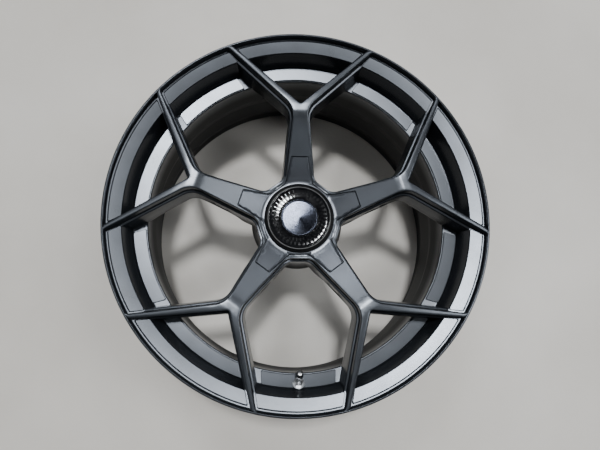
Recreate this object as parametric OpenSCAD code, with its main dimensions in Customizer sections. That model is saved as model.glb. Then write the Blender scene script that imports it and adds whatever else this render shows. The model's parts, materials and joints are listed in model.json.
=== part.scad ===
// Forged one-piece five-spoke wheel, face up, standing on its rear flange.
// +Z runs along the wheel's axis towards the face; z = 0 is the floor under the rear flange.
// Spoke 1 points along +Y, the valve sits in the window along -Y.

/* [Rim] */
// Bead seat diameter of a 19-inch rim
bead_seat_d = 487.4; // [436.6:0.1:512.8]
// Rim width between the two flanges (8.5 inches)
rim_width = 215.9; // [190.5:12.7:254]
// Height of the J flanges above the bead seat
flange_height = 17.5; // [16.5:0.5:19]
// Thickness of the front flange, from the tyre bead to the lip
front_flange = 16; // [14:0.5:20]
// Thickness of the rear flange
rear_flange = 11.5; // [10:0.5:14]
// Inside radius of the drop centre
well_r = 213.5; // [205:0.5:216]
// Wall thickness of the barrel
wall = 5.5; // [4.5:0.5:7]

/* [Spokes] */
// Number of Y-shaped spokes
spokes = 5; // [5:1:5]
// Half width of a stem where its edges would meet the axis
stem_root_half = 25.2; // [22:0.2:27]
// How much a stem's half width falls for each millimetre of radius
stem_taper = 0.103; // [0.09:0.001:0.115]
// Radius at which the outer edges of a spoke's two arms would meet
fork_outer_r = 144; // [138:1:148]
// Radius at which the inner edges of a spoke's two arms would meet
fork_inner_r = 157; // [154:1:162]
// Angle of the arms' outer edges to the stem
arm_outer_angle = 47.7; // [46:0.1:48.5]
// Angle of the arms' inner edges to the stem
arm_inner_angle = 49.4; // [48.8:0.1:50.5]
// How far the lower web of a spoke stands out beyond its top rib
web_step = 3.5; // [2:0.5:5]
// Depth of the top rib before the step to the web
rib_depth = 14; // [10:1:18]

/* [Hub] */
// Wheel offset (ET)
offset_et = 35; // [25:1:45]
// Pitch circle diameter of the lug holes
lug_pcd = 114.3; // [112:0.1:114.3]
// Diameter of the lug holes
lug_hole_d = 15; // [14:0.5:16]
// Diameter of the centre bore
centre_bore_d = 73.1; // [66:0.1:74]
// Diameter of the mounting pad
pad_d = 138; // [130:1:142]
// Distance from the axis to the tips of the large windows
hub_tip_r = 57; // [55:0.5:59]
// Depth of the hub's face below the lip
face_drop = 34; // [30:1:37]

/* [Cover and lock ring] */
// Thickness of the star-shaped lug cover
cover_t = 3; // [2.5:0.5:3.5]
// Reach of the cover's arms from the axis
cover_reach = 86.5; // [82:0.5:92]
// Distance from the axis to the cover's edge between two arms
cover_tip_r = 51.6; // [51:0.1:52.5]
// Outer diameter of the collar under the lock ring
collar_d = 99; // [96:0.5:101]
// Outer diameter of the knurled lock ring
lock_ring_d = 85.6; // [82:0.2:88]
// Number of teeth around the lock ring
teeth = 30; // [24:2:36]
// Outer diameter of the badge
badge_d = 52; // [48:0.5:54]

/* [Valve] */
// Lean of the valve from the wheel's axis
valve_lean = 32; // [28:1:34]
// Radius at which the valve leaves the rim
valve_r = 226; // [224:0.5:228]
// Length of the valve outside the rim, without its cap
valve_out = 31; // [28:1:36]

/* [Hidden] */

$fn = 96;
eps = 0.01;
step_angle = 360 / spokes;
half_step = step_angle / 2;

forged_colour = "#4a4e54";
cover_colour = "#50545a";
black_colour = "#141416";
steel_colour = "#b9bcc0";
rubber_colour = "#222222";

// Heights that follow from the rim section.
lip_z = rear_flange + rim_width + front_flange;
front_seat_z = lip_z - front_flange;
rear_seat_z = rear_flange;
pad_z = rear_flange + rim_width / 2 + offset_et;
seat_r = bead_seat_d / 2;
flange_r = seat_r + flange_height;
land_r = flange_r - 2.7;

// ---------- small geometry helpers ----------

// Points of a circular arc from angle a0 to angle a1.
function arc(cx, cy, r, a0, a1, n = 8) =
    [for (i = [0 : n]) let (a = a0 + (a1 - a0) * i / n) [cx + r * cos(a), cy + r * sin(a)]];

// Where the line through p at angle a meets the line through q at angle b.
function meet(p, a, q, b) =
    let (d = cos(a) * sin(b) - sin(a) * cos(b),
         t = ((q[0] - p[0]) * sin(b) - (q[1] - p[1]) * cos(b)) / d)
    [p[0] + t * cos(a), p[1] + t * sin(a)];

function unit(v) = v / norm(v);

// Replaces corner q, between p and s, by an arc of radius r.
function round_corner(p, q, s, r, n = 8) =
    let (u = unit(p - q), v = unit(s - q), half = acos(u * v) / 2,
         centre = q + unit(u + v) * r / sin(half),
         t0 = q + u * r / tan(half), t1 = q + v * r / tan(half),
         a0 = atan2(t0[1] - centre[1], t0[0] - centre[0]),
         a1 = atan2(t1[1] - centre[1], t1[0] - centre[0]),
         turn = a1 - a0 - 360 * round((a1 - a0) / 360))
    r < eps ? [q] : arc(centre[0], centre[1], r, a0, a0 + turn, n);

// A closed outline whose corner k is rounded to radius radii[k].
function rounded(pts, radii) =
    let (n = len(pts))
    [for (k = [0 : n - 1]) each round_corner(pts[(k + n - 1) % n], pts[k], pts[(k + 1) % n], radii[k])];

function backwards(pts) = [for (k = [len(pts) - 1 : -1 : 0]) pts[k]];

function drop_last(pts) = [for (k = [0 : len(pts) - 2]) pts[k]];

function turned(p, a) = [p[0] * cos(a) - p[1] * sin(a), p[0] * sin(a) + p[1] * cos(a)];

// ---------- planform of the spokes ----------
// Each line below bounds a spoke that points along +X; "grow" moves it out of the metal.

stem_angle = -atan(stem_taper);
function stem_point(grow) = [0, stem_root_half + grow / cos(stem_angle)];
function arm_outer_point(grow) = [fork_outer_r - grow / sin(arm_outer_angle), 0];
function arm_inner_point(grow) = [fork_inner_r + grow / sin(arm_inner_angle), 0];

hub_fillet = 32;
fork_fillet = 30;
tip_fillet = 5;
arm_run = 170;

// Corners of the large window between two spokes, seen from its own centre line (+X):
// on one side of that line the hub corner, the fork corner and a point beyond the lip.
function large_half(grow) =
    let (stem = turned(stem_point(grow), -half_step),
         hub = meet(stem, stem_angle - half_step, [hub_tip_r + grow, 0], 90),
         fork = meet(stem_point(grow), stem_angle, arm_outer_point(grow), arm_outer_angle),
         far = fork + arm_run * [cos(arm_outer_angle), sin(arm_outer_angle)])
    [hub, turned(fork, -half_step), turned(far, -half_step)];

function mirrored(p) = [p[0], -p[1]];

module large_window(grow) {
    half = large_half(grow);
    pts = concat(half, [for (p = backwards(half)) mirrored(p)]);
    radii = [hub_fillet - grow, fork_fillet - grow, 0];
    rotate(half_step) polygon(rounded(pts, concat(radii, backwards(radii))));
}

// The small window between the two arms of one spoke.
module small_window(grow) {
    tip = arm_inner_point(grow);
    far = tip + arm_run * [cos(arm_inner_angle), sin(arm_inner_angle)];
    polygon(rounded([tip, mirrored(far), far], [max(tip_fillet - grow, 2), 0, 0]));
}

module all_windows(grow) {
    for (k = [0 : spokes - 1]) rotate(k * step_angle) {
        large_window(grow);
        small_window(grow);
    }
}

// One spoke's planform, between two radii.
module spoke_plan(grow, r0, r1) {
    difference() {
        intersection() {
            circle(r = r1, $fn = 180);
            polygon([[0, 0], turned([2 * r1, 0], -half_step), turned([2 * r1, 0], half_step)]);
        }
        circle(r = r0, $fn = 120);
        large_window(grow);
        mirror([0, 1]) large_window(grow);
        small_window(grow);
    }
}

// ---------- heights of the spokes ----------

face_z = lip_z - face_drop;
face_r = 54;
hub_r = 76;
ramp_end_r = 140;

// The face is flat at the hub, climbs along the stems and levels out over the fork.
function top_profile(drop) =
    [[0, face_z - drop], [face_r, face_z - drop], [ramp_end_r, lip_z - 5 - drop],
     [148, lip_z - 3.1 - drop], [158, lip_z - 2.1 - drop], [172, lip_z - 1.5 - drop],
     [land_r, lip_z - drop]];

// The back of the spokes, from the mounting pad to the ledge in the rim.
back_profile = [[0, pad_z], [hub_r, pad_z], [82, pad_z + 4], [90, pad_z + 22],
    [102, pad_z + 32], [124, pad_z + 39], [155, pad_z + 42], [188, pad_z + 40]];

// Inner boundary of the rim, from the lip down to the drop centre; the spokes end on it.
plate_inner_r = 238.2;
pocket_outer = [land_r, lip_z - 10.5];
pocket_inner = [plate_inner_r, lip_z - 14.5];
ledge_outer = [233.4, lip_z - 48.8];
ledge_inner = [well_r + 1, lip_z - 51.3];
// Where a spoke's foot meets the wall of the drop centre, below the ledge.
spoke_foot = [[well_r, lip_z - 55], [well_r, ledge_inner[1] - 1.5], ledge_inner];
rim_mouth = [[land_r, lip_z], pocket_outer, pocket_inner, ledge_outer, ledge_inner];

module at_spoke_zero() rotate(90) children();

// ---------- rim ----------

// Outer (tyre) side of the rim: front lip, front flange, bead seat, hump, drop centre.
front_wall = concat(
    arc(flange_r - 2.2, lip_z - 2.2, 2.2, 90, 0, 4),
    arc(flange_r - 5.5, lip_z - 8.5, 5.5, 0, -62, 5),
    [[seat_r + 8, front_seat_z]],
    arc(seat_r + 6.5, front_seat_z - 6.5, 6.5, 90, 180, 5),
    [[seat_r - 1.3, front_seat_z - 20], [seat_r - 0.2, front_seat_z - 23],
     [seat_r - 3, front_seat_z - 27], [seat_r - 4.4, front_seat_z - 35],
     [seat_r - 7, front_seat_z - 38.5], [well_r + wall + 4, front_seat_z - 42]]);
barrel_wall = [[well_r + wall, 142], [well_r + wall + 11.5, 112], [well_r + wall + 15, 56]];
rear_wall = concat(
    [[seat_r - 0.2, rear_seat_z + 23], [seat_r - 1.3, rear_seat_z + 20]],
    arc(seat_r + 6.5, rear_seat_z + 6.5, 6.5, 180, 270, 5),
    [[seat_r + 8, rear_seat_z]],
    arc(flange_r - 5.5, rear_flange - 6, 5.5, 62, 0, 5),
    arc(flange_r - 2.2, 2.2, 2.2, 0, -90, 4));
// Inner side of the rim, from the rear flange up to the drop centre.
rear_inside = [[240, 0], [238, 2], [236.5, 16], [235, 30]];
barrel_inside = [[well_r + 12.5, 62], [well_r + 10, 108], [well_r, 142]];
// The rim is made in three rings that meet face to face, each from one cut to the next.
front_cut = [[well_r + wall, front_seat_z - 46], [well_r, front_seat_z - 46]];
rear_cut = [[seat_r - 5, 46], [230.5, 46]];

// Plates round the lip and pads on the ledge stand up a little inside each window.
plate_outer_r = 255.4;
plate_gap = 2.6;
plate_rise = 2.4;
plate_outer_rise = 3.6;
pad_rise = 2.5;
large_pad_half = 13.2;
small_pad_half = 13.8;
ledge_slope = (ledge_outer[1] - ledge_inner[1]) / (ledge_outer[0] - ledge_inner[0]);
function ledge_at(r) = ledge_inner[1] + (r - ledge_inner[0]) * ledge_slope;

module rim_ring(outer, inner) {
    rotate_extrude($fn = 180) polygon(concat(outer, inner));
}

// The plates lean towards the axis, like the floor of the pocket that they stand on.
module lip_plates() {
    slope = (pocket_outer[1] - pocket_inner[1]) / (pocket_outer[0] - pocket_inner[0]);
    outer_floor = pocket_inner[1] + (plate_outer_r - plate_inner_r) * slope;
    intersection() {
        rotate_extrude($fn = 180)
            polygon([[plate_inner_r, pocket_inner[1] - 0.5], [plate_outer_r, outer_floor - 0.5],
                [plate_outer_r, outer_floor + plate_outer_rise],
                [plate_inner_r, pocket_inner[1] + plate_rise]]);
        linear_extrude(lip_z) all_windows(plate_gap);
    }
}

module ledge_pad(half) {
    r0 = ledge_inner[0] + 0.6;
    r1 = ledge_outer[0] - 0.8;
    rotate(-half) rotate_extrude(angle = 2 * half, $fn = 180)
        polygon([[r0, ledge_at(r0) - 0.5], [r1, ledge_at(r1) - 0.5],
            [r1, ledge_at(r1) + pad_rise], [r0, ledge_at(r0) + pad_rise]]);
}

module ledge_pads() {
    for (k = [0 : spokes - 1]) rotate(k * step_angle) {
        ledge_pad(small_pad_half);
        rotate(half_step) ledge_pad(large_pad_half);
    }
}

module rim_barrel() {
    color(forged_colour)
        rim_ring(concat([front_cut[0]], barrel_wall, rear_cut), concat(barrel_inside, [front_cut[1]]));
}

module rim_rear() {
    color(forged_colour) rim_ring(concat([rear_cut[0]], rear_wall), concat(rear_inside, [rear_cut[1]]));
}

// Front ring of the rim: lip, flange, bead seat and the ledge that the spokes run into.
module rim_front() {
    color(forged_colour) difference() {
        union() {
            rim_ring(concat(front_wall, front_cut), concat([spoke_foot[1]], backwards(rim_mouth)));
            at_spoke_zero() {
                lip_plates();
                ledge_pads();
            }
        }
        at_valve() {
            translate([0, 0, -20]) cylinder(r = valve_hole_r, h = 40);
            translate([0, 0, -spot_depth]) cylinder(r = spot_face_r, h = 14);
            translate([0, 0, valve_seat - 14]) cylinder(r = spot_face_r, h = 14);
        }
    }
}

// ---------- spokes and hub, one forging with the rim ----------

// Everything between two revolved surfaces, given as lists of [radius, height].
module between(upper, lower) {
    rotate_extrude($fn = 180) polygon(concat(upper, backwards(lower)));
}

module spoke(k) {
    rib_bottom = drop_last(top_profile(rib_depth));
    color(forged_colour) at_spoke_zero() rotate((k - 1) * step_angle) {
        // Top rib, with the narrow face and the end of the lug cover's recess.
        difference() {
            intersection() {
                between(top_profile(0), concat(rib_bottom, [pocket_inner, pocket_outer]));
                linear_extrude(lip_z + 1) spoke_plan(0, hub_r, land_r + 1);
            }
            cover_recess();
        }
        // Web below the rib, stepped out on both sides.
        intersection() {
            between(concat(rib_bottom, [pocket_inner, ledge_outer]), concat(back_profile, spoke_foot));
            linear_extrude(lip_z + 1) spoke_plan(web_step, hub_r, land_r + 1);
        }
    }
}

lug_r = lug_pcd / 2;
lug_pocket_r = 15.5;
seat_cone_z = pad_z + 10;
seat_cone_h = 4 / tan(30);
cap_bore_r = 33.1;
centre_bore_top = face_z - 16;
gasket_r = 36.5;
gasket_w = 3;

module lug_pocket() {
    translate([0, 0, pad_z - 1]) cylinder(d = lug_hole_d, h = 40);
    translate([0, 0, seat_cone_z]) cylinder(r1 = lug_hole_d / 2, r2 = lug_hole_d / 2 + 4, h = seat_cone_h);
    translate([0, 0, seat_cone_z + seat_cone_h]) cylinder(r = lug_pocket_r, h = 80);
}

module round_spokes() for (k = [0 : spokes - 1]) rotate(k * step_angle) children();

// Everything above the face of the spokes, lowered by "drop".
module above_face(drop) between([[0, lip_z + 40], [land_r, lip_z + 40]], top_profile(drop));

// Recess in the forging that the lug cover lies in.
module cover_recess() {
    intersection() {
        above_face(cover_t + cover_bed);
        linear_extrude(lip_z + 30) cover_plan(cover_gap);
    }
}

module hub_centre() {
    color(forged_colour) at_spoke_zero() difference() {
        intersection() {
            between(top_profile(0), [[0, pad_z], [land_r, pad_z]]);
            union() {
                linear_extrude(lip_z) difference() {
                    circle(r = hub_r, $fn = 120);
                    all_windows(web_step);
                }
                translate([0, 0, pad_z]) cylinder(d1 = pad_d, d2 = 2 * (hub_tip_r + 4), h = 36);
            }
        }
        // The top rib is narrower than the web below it.
        intersection() {
            above_face(rib_depth);
            linear_extrude(lip_z + 30) all_windows(0);
        }
        translate([0, 0, pad_z - 1]) cylinder(d = centre_bore_d, h = centre_bore_top - pad_z + 1);
        translate([0, 0, pad_z - 1]) cylinder(r = cap_bore_r, h = 80);
        round_spokes() translate([lug_r, 0]) lug_pocket();
        cover_recess();
        translate([0, 0, face_z - cover_t - 1]) rotate_extrude()
            translate([gasket_r, 0]) square([gasket_w, 2]);
    }
}

// ---------- lug cover and what it carries ----------

cover_gap = 0.3;
// The cover lies on its seal, just clear of the metal below.
cover_bed = 0.05;
cover_root_half = 29.1;
cover_taper = 0.2;
cover_corner = 1.5;
cover_valley = 7;

// Corners of one arm of the cover, which points along +X: two at the valleys, two at the end.
function cover_arm(grow) =
    let (side_angle = -atan(cover_taper),
         side = [0, cover_root_half + grow / cos(side_angle)],
         valley = (cover_tip_r + grow) * [cos(half_step), sin(half_step)],
         inner = meet(side, side_angle, valley, half_step + 90),
         outer = meet(side, side_angle, [cover_reach + grow, 0], 90))
    [mirrored(inner), mirrored(outer), outer, inner];

// Star outline of the cover; a border of forging stays visible around it.
module cover_plan(grow) {
    radii = [cover_valley - grow, cover_corner + grow, cover_corner + grow, cover_valley - grow];
    polygon(rounded(
        [for (k = [0 : spokes - 1]) each [for (p = cover_arm(grow)) turned(p, k * step_angle)]],
        [for (k = [0 : spokes - 1]) each radii]));
}

module lug_cover() {
    color(cover_colour) at_spoke_zero() difference() {
        intersection() {
            between(top_profile(0), top_profile(cover_t));
            linear_extrude(lip_z) cover_plan(0);
        }
        translate([0, 0, face_z - 20]) cylinder(r = bush_r + 0.1, h = 40);
        screw_places() cylinder(r = 1.5, h = 20, center = true, $fn = 24);
    }
}

module cover_gasket() {
    color(rubber_colour) translate([0, 0, face_z - cover_t - 0.9]) rotate_extrude()
        translate([gasket_r + 0.2, 0]) square([gasket_w - 0.4, 0.9]);
}

clip_h = 16;
clip_wall = 1.5;

// Split cups that grip the walls of the lug pockets.
module cover_clips() {
    color(black_colour) at_spoke_zero() intersection() {
        round_spokes() translate([lug_r, 0, face_z - cover_t - 9]) difference() {
            cylinder(r = lug_pocket_r - 0.3, h = clip_h);
            translate([0, 0, -1]) cylinder(r = lug_pocket_r - 0.3 - clip_wall, h = clip_h + 2);
            for (a = [30 : 60 : 150]) rotate(a) translate([-20, -1.2, -1]) cube([40, 2.4, 7]);
        }
        between(top_profile(cover_t), [[0, pad_z], [land_r, pad_z]]);
    }
}

bush_r = 32.8;
bush_bore_r = 29.6;
bush_flange_r = 41;
bush_flange_t = 1.8;
screw_r = 37;
screw_shank_r = 1.45;
screw_head_r = 2.8;

module screw_places() round_spokes() translate([screw_r, 0, face_z]) children();

// Threaded bush that is screwed to the cover and reaches into the cap bore.
module threaded_bush() {
    color(steel_colour) at_spoke_zero() difference() {
        translate([0, 0, face_z]) {
            translate([0, 0, -14]) cylinder(r = bush_r, h = 14 + bush_flange_t);
            cylinder(r = bush_flange_r, h = bush_flange_t);
        }
        translate([0, 0, face_z - 20]) cylinder(r = bush_bore_r, h = 40);
        screw_places() {
            cylinder(r = screw_shank_r + 0.05, h = 20, center = true, $fn = 24);
            translate([0, 0, bush_flange_t - 1.35])
                cylinder(r1 = screw_shank_r + 0.05, r2 = screw_head_r + 0.05, h = 1.35 + eps, $fn = 24);
        }
    }
}

module bush_screws() {
    color(steel_colour) at_spoke_zero() screw_places() {
        translate([0, 0, -2.8]) cylinder(r = screw_shank_r, h = 2.8 + bush_flange_t - 1.35, $fn = 24);
        translate([0, 0, bush_flange_t - 1.35])
            cylinder(r1 = screw_shank_r, r2 = screw_head_r, h = 1.35, $fn = 24);
    }
}

collar_r = collar_d / 2;
ring_r = lock_ring_d / 2;

// Collar that the lock ring carries and presses onto the cover.
module lock_collar() {
    web_r = bush_bore_r + 1;
    lip_in = bush_flange_r + 1;
    seat_in = ring_r + 0.5;
    color(black_colour) translate([0, 0, face_z]) rotate_extrude($fn = 120)
        polygon([[lip_in, 0.3], [collar_r - 0.6, 0.3], [collar_r, 1], [collar_r - 0.4, 2.2],
            [seat_in + 1.1, 4], [seat_in, 4], [seat_in, 2.7], [web_r, 2.7], [web_r, 2.1], [lip_in, 2.1]]);
}

skirt_r = bush_bore_r - 0.25;
skirt_bottom = -11;
ring_base = 3;
trough_z = 4.8;
ring_top = 7;
badge_seat_r = badge_d / 2 + 0.4;
badge_seat_z = 1.5;
ring_bore_r = 22.9;
seal_z = -8.5;
seal_wire_r = 0.75;

// Knurled lock ring: a toothed head on a threaded skirt.
module lock_ring() {
    wall_r = badge_seat_r + 1.6;
    tooth_outer = ring_r - 2.5;
    tooth_w = 0.55 * 2 * PI * (wall_r + tooth_outer) / 2 / teeth;
    color(black_colour) translate([0, 0, face_z]) {
        difference() {
            rotate_extrude($fn = 120)
                polygon([[ring_bore_r, skirt_bottom], [skirt_r, skirt_bottom], [skirt_r, ring_base],
                    [ring_r, ring_base], [ring_r, ring_top - 1.6], [ring_r - 0.8, ring_top - 0.8],
                    [ring_r - 1.6, ring_top - 0.8], [tooth_outer, trough_z], [wall_r, trough_z],
                    [wall_r, ring_top], [badge_seat_r, ring_top], [badge_seat_r, badge_seat_z],
                    [ring_bore_r, badge_seat_z]]);
            rotate_extrude() translate([skirt_r - 1.3, seal_z - 0.9]) square([3, 1.8]);
        }
        for (k = [0 : teeth - 1]) rotate(k * 360 / teeth)
            translate([wall_r - 0.3, -tooth_w / 2, trough_z - 0.5])
                cube([tooth_outer - wall_r + 0.3, tooth_w, ring_top - 0.9 - trough_z + 0.5]);
    }
}

module lock_ring_seal() {
    color(rubber_colour) translate([0, 0, face_z + seal_z]) rotate_extrude($fn = 96)
        translate([skirt_r - 1.3 + seal_wire_r, 0]) circle(r = seal_wire_r, $fn = 32);
}

carrier_r = badge_seat_r - 0.3;
badge_floor = 3.6;
finger_r = ring_bore_r - 0.3;
finger_wall = 1.8;

// Plastic cup behind the badge, with six spring fingers in the bore of the lock ring.
module badge_carrier() {
    color(black_colour) translate([0, 0, face_z]) difference() {
        union() {
            translate([0, 0, badge_seat_z + 0.3])
                cylinder(r = carrier_r, h = badge_floor - badge_seat_z - 0.3);
            translate([0, 0, -7]) cylinder(r = finger_r, h = 7 + badge_floor - 1);
        }
        translate([0, 0, -8]) cylinder(r = finger_r - finger_wall, h = 8 + badge_seat_z);
        for (a = [0 : 60 : 120]) rotate(a) translate([-30, -1.5, -8]) cube([60, 3, 7]);
        translate([0, 0, -5]) rotate_extrude()
            translate([finger_r - finger_wall, 0]) circle(r = 0.8, $fn = 24);
    }
}

// Thin spun disc with a raised rim.
module badge_disc() {
    r = badge_d / 2;
    color(steel_colour) translate([0, 0, face_z + badge_floor]) rotate_extrude($fn = 120)
        polygon([[0, 0], [r, 0], [r, 2.3], [r - 0.6, 2.7], [r - 1.6, 2.4], [r - 2.2, 1.5],
            [r - 8, 1.9], [r - 16, 2.15], [0, 2.3]]);
}

module badge_wire_ring() {
    color(steel_colour) translate([0, 0, face_z - 5]) rotate_extrude(angle = 330, $fn = 96)
        translate([finger_r - finger_wall, 0]) circle(r = 0.75, $fn = 24);
}

// ---------- valve ----------

valve_z = ledge_at(valve_r) + pad_rise;
valve_hole_r = 5.75;
spot_face_r = 9.6;
spot_depth = 1;
valve_seat = -6.2;
shank_r = 4;
stem_thread_r = 3.85;
core_bore_r = 2.6;
air_bore_r = 1.6;
cap_h = 11;
core_bottom = 13;

// Local frame of the valve: +Z out of the rim along the valve, 0 on the ledge.
module at_valve() translate([0, -valve_r, valve_z]) rotate([-valve_lean, 0, 0]) children();

module tube(r_out, r_in, z0, z1) {
    translate([0, 0, z0]) difference() {
        cylinder(r = r_out, h = z1 - z0, $fn = 48);
        translate([0, 0, -1]) cylinder(r = r_in, h = z1 - z0 + 2, $fn = 48);
    }
}

module valve_stem() {
    thread_from = valve_out - 9;
    color(steel_colour) at_valve() difference() {
        union() {
            translate([0, 0, valve_seat - 4.6]) cylinder(r1 = 7.2, r2 = 8.4, h = 1.2, $fn = 48);
            translate([0, 0, valve_seat - 3.4]) cylinder(r = 8.4, h = 1.4, $fn = 48);
            translate([0, 0, valve_seat - 2.5])
                cylinder(r = shank_r, h = thread_from - valve_seat + 2.5, $fn = 48);
            translate([0, 0, thread_from - 1])
                cylinder(r = stem_thread_r, h = valve_out - thread_from + 1, $fn = 48);
        }
        translate([0, 0, -20]) cylinder(r = air_bore_r, h = 80, $fn = 48);
        translate([0, 0, core_bottom - 2]) cylinder(r = core_bore_r, h = 40, $fn = 48);
    }
}

// Rubber seal between the valve's foot and the rim, with a sleeve through the hole.
module valve_grommet() {
    color(rubber_colour) at_valve() {
        tube(8.8, shank_r, valve_seat - 2, valve_seat);
        tube(valve_hole_r, shank_r, valve_seat - 0.1, -spot_depth);
    }
}

module valve_washer() color(steel_colour) at_valve() tube(8.6, shank_r + 0.1, -spot_depth, 0.5);

module valve_nut() {
    color(steel_colour) at_valve() difference() {
        intersection() {
            translate([0, 0, 0.5]) cylinder(r = 6.9, h = 5.5, $fn = 6);
            translate([0, 0, 0.5]) cylinder(r1 = 10.5, r2 = 6.1, h = 5.5, $fn = 48);
        }
        translate([0, 0, -1]) cylinder(r = shank_r, h = 12, $fn = 48);
    }
}

pin_r = 0.7;
core_top = valve_out - 4;
seat_r_core = 1.9;

module valve_core() {
    color("#b08d3c") at_valve() difference() {
        tube(core_bore_r, pin_r + 0.15, core_bottom + 3, core_top);
        translate([0, 0, core_bottom + 4.5]) cylinder(r = seat_r_core, h = 6, $fn = 32);
    }
}

spring_turns = 5;
spring_wire = 0.35;
spring_r = 1.4;
spring_from = core_bottom + 4.9;
spring_h = 3.9;

// Point i of n along the centre line of the core spring.
function coil(i, n) = let (a = 360 * spring_turns * i / n)
    [spring_r * cos(a), spring_r * sin(a), spring_from + spring_h * i / n];

module valve_core_spring() {
    steps = spring_turns * 12;
    sides = 6;
    rings = [for (i = [0 : steps], s = [0 : sides - 1])
        let (a = 360 * spring_turns * i / steps, b = 360 * s / sides,
             r = spring_r + spring_wire * cos(b))
        [r * cos(a), r * sin(a), coil(i, steps)[2] + spring_wire * sin(b)]];
    walls = [for (i = [0 : steps - 1], s = [0 : sides - 1])
        let (p = i * sides + s, q = i * sides + (s + 1) % sides) [p, q, q + sides, p + sides]];
    ends = [[for (s = [sides - 1 : -1 : 0]) s], [for (s = [0 : sides - 1]) steps * sides + s]];
    color(steel_colour) at_valve() polyhedron(points = rings, faces = concat(walls, ends), convexity = 8);
}

module valve_core_pin() {
    color("#b08d3c") at_valve() {
        translate([0, 0, core_bottom + 1])
            cylinder(r = pin_r, h = valve_out - core_bottom - 2.2, $fn = 32);
        translate([0, 0, valve_out - 2]) cylinder(r = 1.1, h = 0.8, $fn = 32);
        translate([0, 0, core_bottom + 9.2]) cylinder(r = 1.7, h = 0.6, $fn = 32);
    }
}

module valve_core_seal() {
    color(rubber_colour) at_valve() tube(2.2, pin_r, core_bottom + 1.2, core_bottom + 2.9);
}

cap_bottom = valve_out - 8;
cap_gap = 0.25;

module valve_cap() {
    color(steel_colour) at_valve() difference() {
        translate([0, 0, cap_bottom]) union() {
            cylinder(r = 4.9, h = cap_h - 2, $fn = 48);
            translate([0, 0, cap_h - 2]) cylinder(r1 = 4.9, r2 = 3.6, h = 2, $fn = 48);
            for (a = [0 : 30 : 330]) rotate(a) translate([4.5, -0.5, 0.6]) cube([0.75, 1, cap_h - 3.2]);
        }
        translate([0, 0, cap_bottom - 1]) cylinder(r = stem_thread_r + cap_gap, h = 10.6, $fn = 48);
    }
}

module valve_cap_seal() {
    color(rubber_colour) at_valve() tube(stem_thread_r, 1.9, valve_out + 0.3, valve_out + 1.3);
}

rim_front();
rim_barrel();
rim_rear();
spoke(1);  // spoke_1
spoke(2);  // spoke_2
spoke(3);  // spoke_3
spoke(4);  // spoke_4
spoke(5);  // spoke_5
hub_centre();
lug_cover();
cover_gasket();
cover_clips();
threaded_bush();
bush_screws();
lock_collar();
lock_ring();
lock_ring_seal();
badge_carrier();
badge_disc();
badge_wire_ring();
valve_stem();
valve_grommet();
valve_washer();
valve_nut();
valve_core();
valve_core_spring();
valve_core_pin();
valve_core_seal();
valve_cap();
valve_cap_seal();
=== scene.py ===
import json
import math

import bpy
import bmesh
import numpy as np
from mathutils import Matrix, Vector
from mathutils.geometry import delaunay_2d_cdt


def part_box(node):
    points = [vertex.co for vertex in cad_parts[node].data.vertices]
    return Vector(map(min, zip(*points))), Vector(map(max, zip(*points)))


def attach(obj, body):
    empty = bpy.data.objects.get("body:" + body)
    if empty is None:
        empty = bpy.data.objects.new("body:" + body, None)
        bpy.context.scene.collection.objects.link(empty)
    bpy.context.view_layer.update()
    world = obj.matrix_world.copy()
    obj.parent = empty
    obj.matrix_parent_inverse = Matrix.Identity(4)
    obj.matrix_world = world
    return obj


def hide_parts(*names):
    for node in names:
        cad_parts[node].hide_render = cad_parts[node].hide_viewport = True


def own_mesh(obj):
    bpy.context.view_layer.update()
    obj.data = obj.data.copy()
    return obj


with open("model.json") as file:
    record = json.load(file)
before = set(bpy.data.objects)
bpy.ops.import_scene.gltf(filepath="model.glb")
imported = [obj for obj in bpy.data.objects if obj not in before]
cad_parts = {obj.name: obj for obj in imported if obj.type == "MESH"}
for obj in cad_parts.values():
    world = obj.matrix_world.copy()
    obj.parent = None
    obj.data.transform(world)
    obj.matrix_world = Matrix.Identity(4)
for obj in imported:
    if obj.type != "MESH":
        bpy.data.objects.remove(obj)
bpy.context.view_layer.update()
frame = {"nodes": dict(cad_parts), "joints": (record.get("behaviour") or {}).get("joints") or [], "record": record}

# Lengths below are in millimetres in the part's own frame; MM turns them into metres.
MM = 0.001
SPOKES = 5
STEP = 360 / SPOKES
HALF_STEP = STEP / 2
FIRST_SPOKE = 90
# How many points go round the turned parts.
AROUND = 288
RING_AROUND = 240
BADGE_AROUND = 192
BORE_AROUND = 144
HOLE_AROUND = 64
STEM_AROUND = 48
# Faces that meet at less than this many degrees are shaded as one surface: most pieces, the
# pads and plates, the knurled ring, and the badge and the valve's cap.
SHARP = 32
CRISP = 18
CRISP_KNURL = 25
ROUNDED = 40


def low(node):
    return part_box(node)[0] / MM


def high(node):
    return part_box(node)[1] / MM


def joint(name):
    return next(j for j in frame["joints"] if j["name"] == name)


def mount(name):
    return next(m for m in frame["record"]["mounts"] if m["name"] == name)["dims"]


# ---------- sizes taken from the frame ----------

LIP = high("rim_front").z
FLANGE_R = high("rim_front").x
PAD = low("hub_centre").z
FACE = joint("ring_turn")["pos_m"][2] / MM
RING_R = high("lock_ring").x
COLLAR_R = high("lock_collar").x
COLLAR_TOP = high("lock_collar").z
BADGE_R = high("badge_disc").x
BADGE_BASE = low("badge_disc").z
BORE_R = mount("hub_bore")["r_mm"]
LUG_R = mount("lug_holes")["pcd_mm"] / 2
LUG_HOLE = mount("lug_holes")["hole_r_mm"]
VALVE_AXIS = Vector(joint("cap_turn")["axis"])
VALVE_POINT = Vector(joint("cap_turn")["pos_m"]) / MM

# ---------- sizes of the forging that the frame doesn't name ----------

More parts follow.
